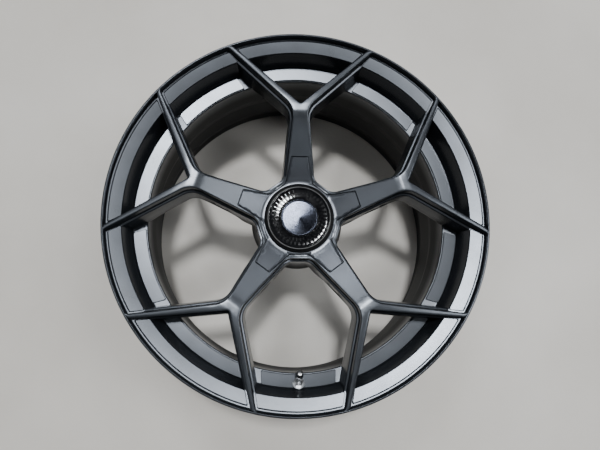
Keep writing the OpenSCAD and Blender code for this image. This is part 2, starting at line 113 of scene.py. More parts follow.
# Section of the rim: radius of the bead seats, inside radius, upper end and wall of the drop
# well, heights of the two seats, and the outer radius of the lip's flat land.
SEAT_R = FLANGE_R - 17.5
WELL_R = 213.5
WELL_TOP = 142
WALL = 5.5
FRONT_SEAT = LIP - 16
REAR_SEAT = 11.5
LAND_R = FLANGE_R - 2.7

# Pockets of the lip and the leaning plates in them, as (radius, height).
PLATE_IN = 238.2
PLATE_OUT = 255.4
POCKET_OUT = (LAND_R, LIP - 10.5)
POCKET_IN = (PLATE_IN, LIP - 14.5)
PLATE_TOP = [(PLATE_IN, LIP - 12.1), (PLATE_OUT, LIP - 7.55)]
PLATE_GAP = 2.6
PLATE_FACE_GAP = 3.2
PLATE_FOOT, PLATE_EDGE = -3.6, -1.0

# Ledge between the pockets and the well, and the pads on it.
LEDGE_OUT = (233.4, LIP - 48.8)
LEDGE_IN = (WELL_R + 1, LIP - 51.3)
PAD_FOOT = -0.5
PAD_RISE = 2.45
PAD_BEVEL = 0.6
PAD_CORNER = 2.2
PAD_GAP = 5.2
LARGE_PAD_HALF = 51.6

# Spokes seen from the front: the stem's half width and taper, where the outer and inner edges
# of the two arms meet on the spoke's centre line, the arms' angles, how near the large window
# comes to the axis, and how far out the hub's face stays level.
STEM_HALF = 25.2
STEM_ANGLE = -math.degrees(math.atan(0.103))
FORK_OUTER = 144
FORK_INNER = 157
ARM_OUTER = 47.7
ARM_INNER = 49.4
HUB_TIP = 57
CROWN_R = 54

# Fronts and backs of the spokes and the hub, as (radius, height).
TOP_PROFILE = [(0, FACE), (CROWN_R, FACE), (140, LIP - 5), (148, LIP - 3.1), (158, LIP - 2.1),
               (172, LIP - 1.5), (LAND_R, LIP)]
BACK_PROFILE = [(0, PAD + 2), (76, PAD + 2), (83, PAD + 5), (90, PAD + 22), (102, PAD + 32),
                (124, PAD + 39), (155, PAD + 42), (188, PAD + 40), (WELL_R + 1, LIP - 55)]


def along(profile, r):
    """Height of a profile at radius r."""
    radii, heights = zip(*profile)
    return float(np.interp(r, radii, heights))


def top_at(x, y):
    return along(TOP_PROFILE, math.hypot(x, y))


def back_at(x, y):
    return along(BACK_PROFILE, math.hypot(x, y))


def ledge_at(x, y):
    """Height of the ledge's cone, also beyond its two edges."""
    slope = (LEDGE_OUT[1] - LEDGE_IN[1]) / (LEDGE_OUT[0] - LEDGE_IN[0])
    return LEDGE_IN[1] + (math.hypot(x, y) - LEDGE_IN[0]) * slope


def plate_at(x, y):
    return along(PLATE_TOP, math.hypot(x, y))


def seam_at(x, y):
    """Just under the ledge where an arm runs over it, and a little above the arm's back."""
    return max(back_at(x, y) + 4.2, ledge_at(x, y) - 0.3)


# ---------- outlines in the plane ----------

def ray(point, degrees, distance):
    """The point at a distance from another, in a direction."""
    a = math.radians(degrees)
    return (point[0] + distance * math.cos(a), point[1] + distance * math.sin(a))


def turn(point, degrees):
    c, s = math.cos(math.radians(degrees)), math.sin(math.radians(degrees))
    return (point[0] * c - point[1] * s, point[0] * s + point[1] * c)


def mirror(point):
    """The same point on the other side of the x axis."""
    return (point[0], -point[1])


def angle_of(point):
    """Direction of a point from the origin, in degrees."""
    return math.degrees(math.atan2(point[1], point[0]))


def meet(p, a, q, b):
    """Where the line through p at angle a meets the line through q at angle b."""
    a, b = math.radians(a), math.radians(b)
    d = math.cos(a) * math.sin(b) - math.sin(a) * math.cos(b)
    t = ((q[0] - p[0]) * math.sin(b) - (q[1] - p[1]) * math.cos(b)) / d
    return (p[0] + t * math.cos(a), p[1] + t * math.sin(a))


def arc(cx, cy, r, a0, a1, n):
    """n + 1 points on an arc from angle a0 to a1."""
    return [ray((cx, cy), a0 + (a1 - a0) * i / n, r) for i in range(n + 1)]


def short_arc(centre, r, start, end, n):
    """Arc round a centre from one direction to another, the short way."""
    a0 = angle_of(start)
    sweep = angle_of(end) - a0
    sweep -= 360 * round(sweep / 360)
    return arc(centre.x, centre.y, r, a0, a0 + sweep, n)


def fillet(p, q, s, r, n=8):
    """The corner at q, between p and s, rounded to radius r or as much as its sides allow."""
    if r < 0.01:
        return [q]
    p, q, s = Vector(p), Vector(q), Vector(s)
    u, v = (p - q).normalized(), (s - q).normalized()
    half = math.acos(max(-1, min(1, u.dot(v)))) / 2
    if half > math.radians(89.5):
        return [tuple(q)]
    r = min(r, 0.49 * min((p - q).length, (s - q).length) * math.tan(half))
    centre = q + (u + v).normalized() * r / math.sin(half)
    reach = r / math.tan(half)
    return short_arc(centre, r, q + u * reach - centre, q + v * reach - centre, n)


def softened(corners, n=6):
    """A closed outline from (x, y, corner radius) triples."""
    count = len(corners)
    out = []
    for i, (x, y, r) in enumerate(corners):
        out += fillet(corners[i - 1][:2], (x, y), corners[(i + 1) % count][:2], r, n)
    return out


def softened_open(corners, n=6):
    """An open outline from (x, y, corner radius) triples; its two ends stay."""
    out = [corners[0][:2]]
    for before, here, after in zip(corners, corners[1:], corners[2:]):
        out += fillet(before[:2], here[:2], after[:2], here[2], n)
    return out + [corners[-1][:2]]


def straight(p, q, n):
    """n points between p and q, both left out."""
    return [(p[0] + (q[0] - p[0]) * i / (n + 1), p[1] + (q[1] - p[1]) * i / (n + 1))
            for i in range(1, n + 1)]


def run_out(point, degrees, side, rim_r, r, n=6):
    """Arc of radius r from a straight edge into the circle rim_r that it runs towards."""
    edge = Vector(ray((0, 0), degrees, 1))
    inward = Vector((-edge.y, edge.x)) * side
    start = Vector(point) + inward * r
    b = start.dot(edge)
    c = start.length_squared - (rim_r - r) ** 2
    centre = start + edge * (-b + math.sqrt(b * b - c))
    return short_arc(centre, r, -inward, centre, n)


HUB_FILLET = 32
FORK_FILLET = 30
TIP_FILLET = 5
TIP_FILLET_MIN = 2
LIP_FILLET = 5.5
LIP_FILLET_MIN = 1.5
# Points along the straight part of the stem's and of an arm's edge.
STEM_POINTS, ARM_POINTS = 18, 24


def large_lines(grow):
    """Edges of the large window on the upper side of its own centre line, as (point, angle)."""
    stem = (0, STEM_HALF + grow / math.cos(math.radians(STEM_ANGLE)))
    arm = (FORK_OUTER - grow / math.sin(math.radians(ARM_OUTER)), 0)
    return ((mirror(turn(stem, -HALF_STEP)), HALF_STEP - STEM_ANGLE),
            (mirror(turn(arm, -HALF_STEP)), HALF_STEP - ARM_OUTER))


def large_half(grow, rim_r):
    """Upper half of the large window's outline, from the hub to the rim."""
    stem, arm = large_lines(grow)
    centre = (HUB_TIP + grow, 0)
    hub = meet(*stem, centre, 90)
    fork = meet(*stem, *arm)
    hub_arc = fillet(centre, hub, fork, HUB_FILLET - grow, 16)
    end_arc = run_out(fork, arm[1], -1, rim_r, max(LIP_FILLET - grow, LIP_FILLET_MIN))
    fork_arc = fillet(hub, fork, end_arc[0], FORK_FILLET - grow, 14)
    return ([centre] + hub_arc + straight(hub_arc[-1], fork_arc[0], STEM_POINTS) + fork_arc
            + straight(fork_arc[-1], end_arc[0], ARM_POINTS) + end_arc)


def small_line(grow):
    """Edge of the small window on the upper side of its centre line, as (point, angle)."""
    return (FORK_INNER + grow / math.sin(math.radians(ARM_INNER)), 0), ARM_INNER


def small_half(grow, rim_r):
    """Upper half of the small window's outline, from the fork to the rim."""
    tip, angle = small_line(grow)
    far = ray(tip, angle, 60)
    r = max(TIP_FILLET - 0.6 * grow, TIP_FILLET_MIN)
    tip_arc = fillet(mirror(far), tip, far, r, 16)[8:]
    end_arc = run_out(tip, angle, 1, rim_r, max(LIP_FILLET - grow, LIP_FILLET_MIN))
    return tip_arc + straight(tip_arc[-1], end_arc[0], ARM_POINTS) + end_arc


def window(half, grow, rim_r):
    """Open outline of a window, from one arm's end at the rim to the other's."""
    upper = half(grow, rim_r)
    return [mirror(p) for p in upper[:0:-1]] + upper


# Each window as (function for its upper half, angle of its centre line).
WINDOWS = []
for k in range(SPOKES):
    WINDOWS.append((small_half, FIRST_SPOKE + k * STEP))
    WINDOWS.append((large_half, FIRST_SPOKE + HALF_STEP + k * STEP))


def placed(half, angle, grow, rim_r):
    """A window's outline at its place round the wheel."""
    return [turn(p, angle) for p in window(half, grow, rim_r)]


# ---------- meshes ----------

def inside(points, loops):
    """Which points lie inside an odd number of the closed loops."""
    points = np.asarray(points, float)
    odd = np.zeros(len(points), bool)
    for loop in loops:
        a = np.asarray(loop, float)
        b = np.roll(a, -1, axis=0)
        for (x0, y0), (x1, y1) in zip(a, b):
            if y0 == y1:
                continue
            spans = (points[:, 1] < y0) != (points[:, 1] < y1)
            x = x0 + (points[:, 1] - y0) * (x1 - x0) / (y1 - y0)
            odd ^= spans & (points[:, 0] < x)
    return odd


class Shell:
    """Points and faces in millimetres, turned into one welded mesh object."""

    def __init__(self):
        self.points = []
        self.faces = []

    def add(self, points):
        first = len(self.points)
        self.points += [tuple(p) for p in points]
        return list(range(first, len(self.points)))

    def strip(self, a, b, closed=True):
        """Quads between two rows of point numbers."""
        n = len(a)
        for i in range(n if closed else n - 1):
            j = (i + 1) % n
            self.faces.append((a[i], a[j], b[j], b[i]))

    def fill(self, loops, height, extra=()):
        """Triangles inside the first loop and outside the others, at height(x, y)."""
        coords, edges = [], []
        for loop in loops:
            first, n = len(coords), len(loop)
            coords += [Vector(p) for p in loop]
            edges += [(first + i, first + (i + 1) % n) for i in range(n)]
        coords += [Vector(p) for p in extra]
        made, _, faces, *_ = delaunay_2d_cdt(coords, edges, [], 0, 1e-7)
        middles = [sum((made[i] for i in f), Vector((0, 0))) / len(f) for f in faces]
        keep = inside([tuple(m) for m in middles], loops)
        index = self.add([(v.x, v.y, height(v.x, v.y)) for v in made])
        self.faces += [tuple(index[i] for i in f) for f, k in zip(faces, keep) if k]

    def levels(self, rows, closed=True):
        """Strips through several rows of 3-D points."""
        index = [self.add(row) for row in rows]
        for a, b in zip(index, index[1:]):
            self.strip(a, b, closed)
        return index

    def build(self, name, sharp=SHARP):
        mesh = bpy.data.meshes.new(name)
        mesh.from_pydata([Vector(p) * MM for p in self.points], [], self.faces)
        return finish_mesh(name, mesh, sharp)


def finish_mesh(name, mesh, sharp):
    """Welds a mesh, turns its faces outwards, smooths it below the sharp angle and links it."""
    work = bmesh.new()
    work.from_mesh(mesh)
    bmesh.ops.remove_doubles(work, verts=work.verts, dist=2e-6)
    bmesh.ops.dissolve_degenerate(work, dist=1e-7, edges=work.edges)
    loose = [v for v in work.verts if not v.link_faces]
    bmesh.ops.delete(work, geom=loose, context="VERTS")
    bmesh.ops.recalc_face_normals(work, faces=work.faces)
    work.to_mesh(mesh)
    work.free()
    mesh.shade_smooth()
    mesh.set_sharp_from_angle(angle=math.radians(sharp))
    piece = bpy.data.objects.new(name, mesh)
    bpy.context.scene.collection.objects.link(piece)
    return piece


def ring_of(r, z, segments=AROUND):
    """Points round a circle about the axis, at one height."""
    turns = [2 * math.pi * i / segments for i in range(segments)]
    return [(r * math.cos(a), r * math.sin(a), z) for a in turns]


def revolved(shell, profile, segments=AROUND, closed=True):
    """Adds a solid of revolution; an open profile starts and ends on the axis."""
    rows = [ring_of(r, z, segments) for r, z in profile if r > 1e-6]
    index = shell.levels(rows)
    if closed:
        shell.strip(index[-1], index[0])
        return
    for row, (r, z) in ((index[0], profile[0]), (index[-1], profile[-1])):
        pole = shell.add([(0, 0, z)])[0]
        n = len(row)
        shell.faces += [(row[i], row[(i + 1) % n], pole) for i in range(n)]


def solid(name, profile, segments=AROUND, closed=True, sharp=SHARP):
    """A turned piece, made from its profile."""
    shell = Shell()
    revolved(shell, profile, segments, closed)
    return shell.build(name, sharp)


def cut(piece, tools, operation="DIFFERENCE"):
    """Applies exact booleans with the tools to a piece and removes the tools."""
    for tool in tools:
        change = piece.modifiers.new("cut", "BOOLEAN")
        change.operation = operation
        change.solver = "EXACT"
        change.object = tool
    depsgraph = bpy.context.evaluated_depsgraph_get()
    mesh = bpy.data.meshes.new_from_object(piece.evaluated_get(depsgraph))
    name = piece.name
    for old in [piece] + list(tools):
        data = old.data
        bpy.data.objects.remove(old)
        bpy.data.meshes.remove(data)
    return finish_mesh(name, mesh, SHARP)


# Distance between the points inside a flat or curved face, on the hub and on a pad.
HUB_SPACING, PAD_SPACING = 5, 3


def ring_points(outline, spacing, extra_radii):
    """Points on circles inside an outline, clear of its edge."""
    reach = max(math.hypot(*p) for p in outline)
    radii = sorted(set(np.arange(spacing, reach, spacing)) | set(extra_radii))
    points = []
    for r in radii:
        n = max(12, int(2 * math.pi * r / spacing))
        points += [ray((0, 0), 360 * i / n, r) for i in range(n)]
    kept = [p for p, k in zip(points, inside(points, [outline])) if k]
    x, y = np.array(outline).T
    return [p for p in kept if np.min(np.hypot(x - p[0], y - p[1])) > 0.4 * spacing]


# ---------- the rim ----------

def rim_profile():
    """Section of the rim as (radius, height, corner radius): down the outside, up the inside."""
    outer = WELL_R + WALL
    return softened([
        (LAND_R, LIP, 0.5), (FLANGE_R, LIP, 2.2), (FLANGE_R, LIP - 11.9, 5.5),
        (SEAT_R + 8, FRONT_SEAT, 1.2), (SEAT_R, FRONT_SEAT, 6.5),
        (SEAT_R - 1.3, FRONT_SEAT - 20, 4), (SEAT_R - 0.2, FRONT_SEAT - 23, 2),
        (SEAT_R - 3, FRONT_SEAT - 27, 4), (SEAT_R - 4.4, FRONT_SEAT - 35, 3),
        (SEAT_R - 7, FRONT_SEAT - 38.5, 3), (outer + 4, FRONT_SEAT - 42, 4),
        (outer, FRONT_SEAT - 46, 3), (outer, WELL_TOP, 14), (outer + 11.5, WELL_TOP - 30, 14),
        (outer + 15, REAR_SEAT + 44.5, 8), (SEAT_R - 5, REAR_SEAT + 34.5, 6),
        (SEAT_R - 0.2, REAR_SEAT + 23, 2), (SEAT_R - 1.3, REAR_SEAT + 20, 4),
        (SEAT_R, REAR_SEAT, 6.5), (SEAT_R + 8, REAR_SEAT, 1.2), (FLANGE_R, 8.4, 5.5),
        (FLANGE_R, 0, 2.2), (240, 0, 1.2), (237.6, 5, 3), (236.5, 16, 12), (235, 30, 14),
        (WELL_R + 12.5, 62, 18), (WELL_R + 10, WELL_TOP - 34, 18), (WELL_R, WELL_TOP, 18),
        (WELL_R, LEDGE_IN[1] - 1.5, 1.2), (*LEDGE_IN, 0.7), (*LEDGE_OUT, 3),
        (*POCKET_IN, 0.6), (*POCKET_OUT, 1.6)])


# The valve's hole, the flats round its two ends, and their heights along the valve's axis.
VALVE_HOLE = 5.75
VALVE_FLAT = 9.6
FLAT_BELOW, FLAT_ABOVE = -6.2, -1


def valve_tool():
    """Hole and spot faces for the valve."""
    tool = solid("valve_tool", [
        (0, -30), (VALVE_FLAT, -30), (VALVE_FLAT, FLAT_BELOW), (VALVE_HOLE, FLAT_BELOW),
        (VALVE_HOLE, FLAT_ABOVE), (VALVE_FLAT - 0.4, FLAT_ABOVE), (VALVE_FLAT, FLAT_ABOVE + 0.4),
        (VALVE_FLAT, 14), (0, 14)], HOLE_AROUND, closed=False)
    put_on_valve(tool)
    return tool


def put_on_valve(piece):
    """Moves a piece made along +Z from the origin onto the valve's axis."""
    tilt = Vector((0, 0, 1)).rotation_difference(VALVE_AXIS).to_matrix().to_4x4()
    piece.data.transform(Matrix.Translation(VALVE_POINT * MM) @ tilt)


def make_rim():
    """All three rings of the rim in one piece, with the valve's hole."""
    return cut(solid("rim_forging", rim_profile()), [valve_tool()])


def rim_side_line(half, grow):
    """Edge of the arm on the upper side of a window's centre line, as (point, angle)."""
    return large_lines(grow)[1] if half is large_half else small_line(grow)


def on_circle(point, degrees, r):
    """Where a line meets the circle of radius r on its way out."""
    edge = Vector(ray((0, 0), degrees, 1))
    start = Vector(point)
    b = start.dot(edge)
    return tuple(start + edge * (-b + math.sqrt(b * b - start.length_squared + r * r)))


def sector(half, grow, r_in, r_out, corner):
    """Closed outline between two arms and two radii, with rounded corners."""
    line = rim_side_line(half, grow)
    outer, inner = on_circle(*line, r_out), on_circle(*line, r_in)
    return closed_sector(inner, outer, r_in, r_out, corner)


def closed_sector(inner, outer, r_in, r_out, corner):
    """Closed outline between two radii; its upper side runs from the inner to the outer point."""
    points = 24
    beside = 4      # how far along each arc the corner's other side is taken
    back_out = ray((0, 0), angle_of(outer) - math.degrees(beside / r_out), r_out)
    back_in = ray((0, 0), angle_of(inner) - math.degrees(beside / r_in), r_in)
    corner_out = fillet(back_out, outer, inner, corner, 6)
    corner_in = fillet(outer, inner, back_in, corner, 6)
    start, end = angle_of(corner_out[0]), angle_of(corner_in[-1])
    upper = [ray((0, 0), start * i / points, r_out) for i in range(points)]
    upper += corner_out + straight(corner_out[-1], corner_in[0], 4) + corner_in
    upper += [ray((0, 0), end * (1 - i / points), r_in) for i in range(1, points + 1)]
    return upper + [mirror(p) for p in upper[-2:0:-1]]


def raised_pad(shell, rows, angle):
    """A raised pad from (closed outline, height(x, y), offset) rows; both ends are capped."""
    turned = [([turn(p, angle) for p in outline], height, dz) for outline, height, dz in rows]
    shell.levels([[(x, y, height(x, y) + dz) for x, y in outline]
                  for outline, height, dz in turned])
    for outline, height, dz in (turned[0], turned[-1]):
        shell.fill([outline], lambda x, y: height(x, y) + dz, ring_points(outline, PAD_SPACING, []))


def make_plates():
    """Leaning plates in the pockets of the lip, with a wide chamfer on the lip's side."""
    shell = Shell()
    for half, angle in WINDOWS:
        edge = sector(half, PLATE_GAP, PLATE_IN + 0.15, PLATE_OUT, 2.0)
        face = sector(half, PLATE_FACE_GAP, PLATE_IN + 0.55, PLATE_OUT - 1.9, 1.8)
        rows = [(edge, plate_at, PLATE_FOOT), (edge, plate_at, PLATE_EDGE), (face, plate_at, 0)]
        raised_pad(shell, rows, angle)
    return shell.build("lip_plates", CRISP)


def pad_outline(half, inset):
    """Outline of a ledge pad: parallel ends in a large window, along the arms in a small one."""
    r_in, r_out = LEDGE_IN[0] + 0.7 + inset, LEDGE_OUT[0] - 0.9 - inset
    if half is small_half:
        return sector(half, PAD_GAP + inset, r_in, r_out, PAD_CORNER)
    wide = LARGE_PAD_HALF - inset
    narrow = wide - 0.7
    inner = (math.sqrt(r_in ** 2 - wide ** 2), wide)
    outer = (math.sqrt(r_out ** 2 - narrow ** 2), narrow)
    return closed_sector(inner, outer, r_in, r_out, PAD_CORNER)


def make_ledge_pads():
    """Pads on the ledge below the pockets, with a crisp bevel."""
    shell = Shell()
    for half, angle in WINDOWS:
        edge, face = pad_outline(half, 0), pad_outline(half, PAD_BEVEL)
        rows = [(edge, ledge_at, PAD_FOOT), (edge, ledge_at, PAD_RISE - PAD_BEVEL),
                (face, ledge_at, PAD_RISE)]
        raised_pad(shell, rows, angle)
    return shell.build("ledge_pads", CRISP)


# ---------- spokes and hub ----------

# How far the arms reach into the rim.
RIM_BITE = 0.12
RIM_END = LAND_R + RIM_BITE
# Crown of the top faces: distance in from the edge and drop below the face.
CROWN = [(2.9, 0), (1.6, 0.06), (0.9, 0.16), (0.4, 0.36), (0.12, 0.72), (0, 1.25)]
# Levels of the windows' walls, as how far outside the top edge's outline they lie, their offset
# in height from the surface they follow, the radius at which the arm ends in the rim, and that
# surface. First the crown, then the wall beside the lip's pockets with the step at its foot.
LEVELS = [(-d, -drop, RIM_END, top_at) for d, drop in CROWN]
LEVELS += [(grow, rise, RIM_END, top_at) for grow, rise in
           ((0.5, -12.2), (0.7, -13.2), (1.1, -13.8), (1.7, -14.05))]
# The wall below the pockets, down to where the arm meets the ledge.
LEVELS += [(grow, rise, end, top_at) for grow, rise, end in
           ((3.0, -14.3, 242), (3.5, -14.6, 238.5), (3.85, -15.1, 238.3), (4.0, -16, 238.1),
            (4.9, -34, 235.6))]
LEVELS += [(5.7, 0, 233.6, seam_at)]
# The rounded edge of the back.
LEVELS += [(grow, rise, WELL_R + 1.6, back_at) for grow, rise in
           ((5.8, 3.6), (5.7, 1.8), (4.9, 0.5), (3.6, 0))]


def metal_outline(grow, rim_r):
    """Closed outline of spokes and hub at one level, window after window."""
    out = []
    for half, angle in WINDOWS:
        out += placed(half, angle, grow, rim_r)
    return out


def level_points(half, angle, grow, rise, rim_r, base):
    """A window's outline at one of the levels, in space."""
    return [(x, y, base(x, y) + rise) for x, y in placed(half, angle, grow, rim_r)]


def make_body():
    """Spokes and hub as one closed shell, before the hub is machined."""
    shell = Shell()
    columns = []
    for half, angle in WINDOWS:
        rows = [level_points(half, angle, *level) for level in LEVELS]
        columns.append(shell.levels(rows, closed=False))
    for here, after in zip(columns, columns[1:] + columns[:1]):
        shell.strip([row[-1] for row in here], [row[0] for row in after], closed=False)
    for level, profile in ((LEVELS[0], TOP_PROFILE), (LEVELS[-1], BACK_PROFILE)):
        grow, rise, rim_r, base = level
        outline = metal_outline(grow, rim_r)
        breaks = [r for r, _ in profile if 0 < r < rim_r - 3]
        shell.fill([outline], lambda x, y: base(x, y) + rise,
                   ring_points(outline, HUB_SPACING, breaks))
    return shell.build("spokes_and_hub")


# Star-shaped recess and cover: its depth, the gap under the cover, half width and taper of a
# point, its reach, the distance of the valleys between the points, and the two corner radii.
COVER_T = 3
COVER_BED = 0.05
COVER_HALF = 29.1
COVER_ANGLE = -math.degrees(math.atan(0.2))
COVER_REACH = high("lug_cover").y
COVER_TIP = 51.6
COVER_CORNER = 1.5
COVER_VALLEY = 7


def cover_outline(grow):
    """Closed star outline of the lug cover."""
    out = []
    side = (0, COVER_HALF + grow / math.cos(math.radians(COVER_ANGLE)))
    valley = meet(side, COVER_ANGLE, ray((0, 0), HALF_STEP, COVER_TIP + grow), HALF_STEP + 90)
    end = meet(side, COVER_ANGLE, (COVER_REACH + grow, 0), 90)
    for k in range(SPOKES):
        a = FIRST_SPOKE + k * STEP
        lower = fillet(turn(valley, -STEP), mirror(valley), mirror(end), COVER_VALLEY - grow, 8)
        lower_end = fillet(mirror(valley), mirror(end), end, COVER_CORNER + grow, 6)
        upper_end = [mirror(p) for p in lower_end[::-1]]
        upper = [mirror(p) for p in lower[::-1]]
        arm = (lower + straight(lower[-1], lower_end[0], 10) + lower_end
               + straight(lower_end[-1], upper_end[0], 6) + upper_end
               + straight(upper_end[-1], upper[0], 10) + upper)
        out += [turn(p, a) for p in arm]
    return out


def star_levels(shell, rows, hole=None):
    """Walls and caps between star outlines given as (grow, height above the face)."""
    shell.levels([[(x, y, top_at(x, y) + dz) for x, y in cover_outline(grow)] for grow, dz in rows])
    for grow, dz in (rows[0], rows[-1]):
        outline = cover_outline(grow)
        loops = [outline]
        rings = ring_points(outline, HUB_SPACING, [CROWN_R])
        if hole:
            loops.append([p[:2] for p in ring_of(hole, 0)])
            rings = [p for p in rings if math.hypot(*p) > hole + 1.5]
        shell.fill(loops, lambda x, y: top_at(x, y) + dz, rings)


# Lug pockets with their cone seats, the wide bore in front of the hub's, and the seal's groove.
POCKET_R = 15.5
CONE_FOOT = PAD + 10
CONE_TOP = CONE_FOOT + 4 / math.tan(math.radians(30))
CAP_BORE = 33.1
BORE_TOP = FACE - 16
GASKET_IN, GASKET_OUT = 36.5, 39.5


def pocket_tool():
    """The five lug holes with their seats and pockets."""
    bevel, above = 0.8, FACE + 12
    one = Shell()
    revolved(one, [(0, PAD - 1), (LUG_HOLE + bevel, PAD - 1), (LUG_HOLE + bevel, PAD),
                   (LUG_HOLE, PAD + bevel), (LUG_HOLE, CONE_FOOT), (LUG_HOLE + 4, CONE_TOP),
                   (POCKET_R - 1, CONE_TOP), (POCKET_R, CONE_TOP + 1), (POCKET_R, above),
                   (0, above)], HOLE_AROUND, closed=False)
    pockets = Shell()
    for k in range(SPOKES):
        x, y = ray((0, 0), FIRST_SPOKE + k * STEP, LUG_R)
        first = len(pockets.points)
        pockets.add([(px + x, py + y, pz) for px, py, pz in one.points])
        pockets.faces += [tuple(i + first for i in f) for f in one.faces]
    return pockets.build("pocket_tool")


def hub_tools():
    """Everything that is machined out of the hub."""
    above = FACE + 6
    floor = FACE - COVER_T
    recess = Shell()
    star_levels(recess, [(0.35, -COVER_T), (0.35, -0.45), (0.85, 0.05), (0.85, 6)])
    bore = [(0, PAD - 1), (BORE_R + 1, PAD - 1), (BORE_R + 1, PAD), (BORE_R, PAD + 1),
            (BORE_R, BORE_TOP), (CAP_BORE, BORE_TOP), (CAP_BORE, floor - 0.6),
            (CAP_BORE + 0.6, floor), (CAP_BORE + 0.6, above), (0, above)]
    groove = [(GASKET_IN, floor - 1), (GASKET_OUT, floor - 1), (GASKET_OUT, FACE),
              (GASKET_IN, FACE)]
    return [recess.build("recess_tool"), pocket_tool(),
            solid("bore_tool", bore, BORE_AROUND, closed=False),
            solid("groove_tool", groove, BORE_AROUND)]


def make_spokes():
    """Spokes and hub in one piece, with the mounting pad behind them."""
    disc = solid("pad_disc", [(0, PAD), (67.8, PAD), (68.6, PAD + 0.8), (66.4, PAD + 10),
                              (64, PAD + 20), (62, PAD + 30), (61.2, PAD + 35), (0, PAD + 35)],
                 BORE_AROUND, closed=False)
    body = cut(make_body(), [disc], "UNION")
    return cut(body, hub_tools())


# ---------- cover, collar, lock ring and badge ----------

COVER_HOLE = 32.9


def make_cover():
    """Star-shaped cover with a bevelled edge and a round hole for the lock ring."""
    shell = Shell()
    rows = [(-0.3, -COVER_T + COVER_BED), (-0.25, -0.75), (-0.45, -0.3), (-0.95, 0)]
    star_levels(shell, rows, COVER_HOLE)
    shell.levels([ring_of(COVER_HOLE, FACE + dz) for _, dz in (rows[0], rows[-1])])
    return shell.build("star_cover")


COLLAR_FOOT_R = 42
COLLAR_BORE_R = 30.6


def make_collar():
    """Collar that stands on the cover, with a thin flange under the lock ring."""
    inner = RING_R + 0.5
    f = FACE
    return solid("collar", softened([
        (COLLAR_FOOT_R, f + 0.3, 0.1), (COLLAR_R - 0.7, f + 0.3, 0.2), (COLLAR_R, f + 1, 0.3),
        (COLLAR_R - 0.35, f + 2.1, 0.5), (inner + 2.2, f + 3.5, 0.8),
        (inner + 1.1, COLLAR_TOP, 0.4), (inner, COLLAR_TOP, 0.25), (inner, f + 2.7, 0.15),
        (COLLAR_BORE_R, f + 2.7, 0.1), (COLLAR_BORE_R, f + 2.1, 0.1),
        (COLLAR_FOOT_R, f + 2.1, 0.1)], 4), RING_AROUND)


# Lock ring: teeth in each row, radii of its skirt and bore, and the seat of the badge.
TEETH = 40
SKIRT_R = 29.35
RING_BORE_R = 22.9
SEAT = BADGE_R + 0.4


def tooth(shell, r0, r1, half0, half1, z0, z1, angle):
    """A wedge-shaped knurl tooth with a roof ridge, from radius r0 to r1 and height z0 to z1."""
    def outline(inset, share):
        a, b = half0 * share, half1 * share
        return [(r0 + inset, -a), (r1 - inset, -b), (r1 - inset, b), (r0 + inset, a)]

    foot, shoulder, crown = outline(-0.3, 1), outline(0.35, 0.55), outline(0.8, 0.16)
    rows = [[(*turn(p, angle), z) for p in level]
            for level, z in ((foot, z0 - 0.4), (foot, z0), (shoulder, z1 - 0.35), (crown, z1))]
    index = shell.levels(rows)
    shell.faces += [tuple(index[0]), tuple(index[-1])]


def make_lock_ring():
    """Gloss-black ring: rolled rim, a trough with two staggered rows of knurl teeth, a skirt."""
    f = FACE
    wall = SEAT + 1.6
    shell = Shell()
    profile = softened([
        (RING_BORE_R, f - 11, 0.3), (SKIRT_R, f - 11, 0.5), (SKIRT_R, f - 9.6, 0.1),
        (SKIRT_R - 1.3, f - 9.4, 0.1), (SKIRT_R - 1.3, f - 7.6, 0.1), (SKIRT_R, f - 7.4, 0.1),
        (SKIRT_R, f + 3, 0.2), (RING_R, f + 3, 0.4), (RING_R, f + 5.9, 0.8),
        (RING_R - 0.9, f + 6.3, 0.45), (RING_R - 1.9, f + 5.4, 0.4), (RING_R - 3.2, f + 4.5, 0.8),
        (wall + 0.4, f + 4.1, 0.6), (wall - 0.1, f + 6.2, 0.4), (SEAT + 0.5, f + 6.9, 0.3),
        (SEAT, f + 6.4, 0.2), (SEAT, f + 1.5, 0.1), (RING_BORE_R, f + 1.5, 0.2)], 4)
    revolved(shell, profile, RING_AROUND)
    pitch = 360 / TEETH
    for k in range(TEETH):
        tooth(shell, wall + 0.3, 33.6, 1.35, 1.6, f + 4.1, f + 6.5, k * pitch)
        tooth(shell, 33.9, RING_R - 3.6, 1.6, 1.8, f + 4.1, f + 6.0, (k + 0.5) * pitch)
    return shell.build("knurled_ring", CRISP_KNURL)


def make_badge():
    """Spun disc with fine turning rings and a rolled rim."""
    f = BADGE_BASE
    inner = BADGE_R - 3.1
    rings = 44
    face = [(inner * (1 - i / rings), f + 1.55 + 0.55 * (i / rings) + 0.02 * (i % 2))
            for i in range(rings)]
    rim = softened_open([(0.001, f, 0), (BADGE_R, f, 0.15), (BADGE_R, f + 2.2, 0.5),
                         (BADGE_R - 1.0, f + 2.7, 0.6), (BADGE_R - 2.2, f + 2.45, 0.5),
                         (BADGE_R - 2.9, f + 1.55, 0.2), face[0] + (0,)], 5)
    return solid("spun_badge", rim + face[1:] + [(0, f + 2.12)], BADGE_AROUND, closed=False,
                 sharp=ROUNDED)


# ---------- valve ----------

# How far the stem stands out along the valve's axis, and how much of it the cap covers.
VALVE_OUT = 31
CAP_LENGTH = 8


def thread(r, z0, z1):
    """Crests and roots of a fine thread between two heights."""
    pitch, depth = 0.8, 0.35
    points = []
    z = z0
    while z + pitch <= z1:
        points += [(r - depth, z), (r, z + 0.4 * pitch), (r, z + 0.6 * pitch)]
        z += pitch
    return points + [(r - depth, z)]


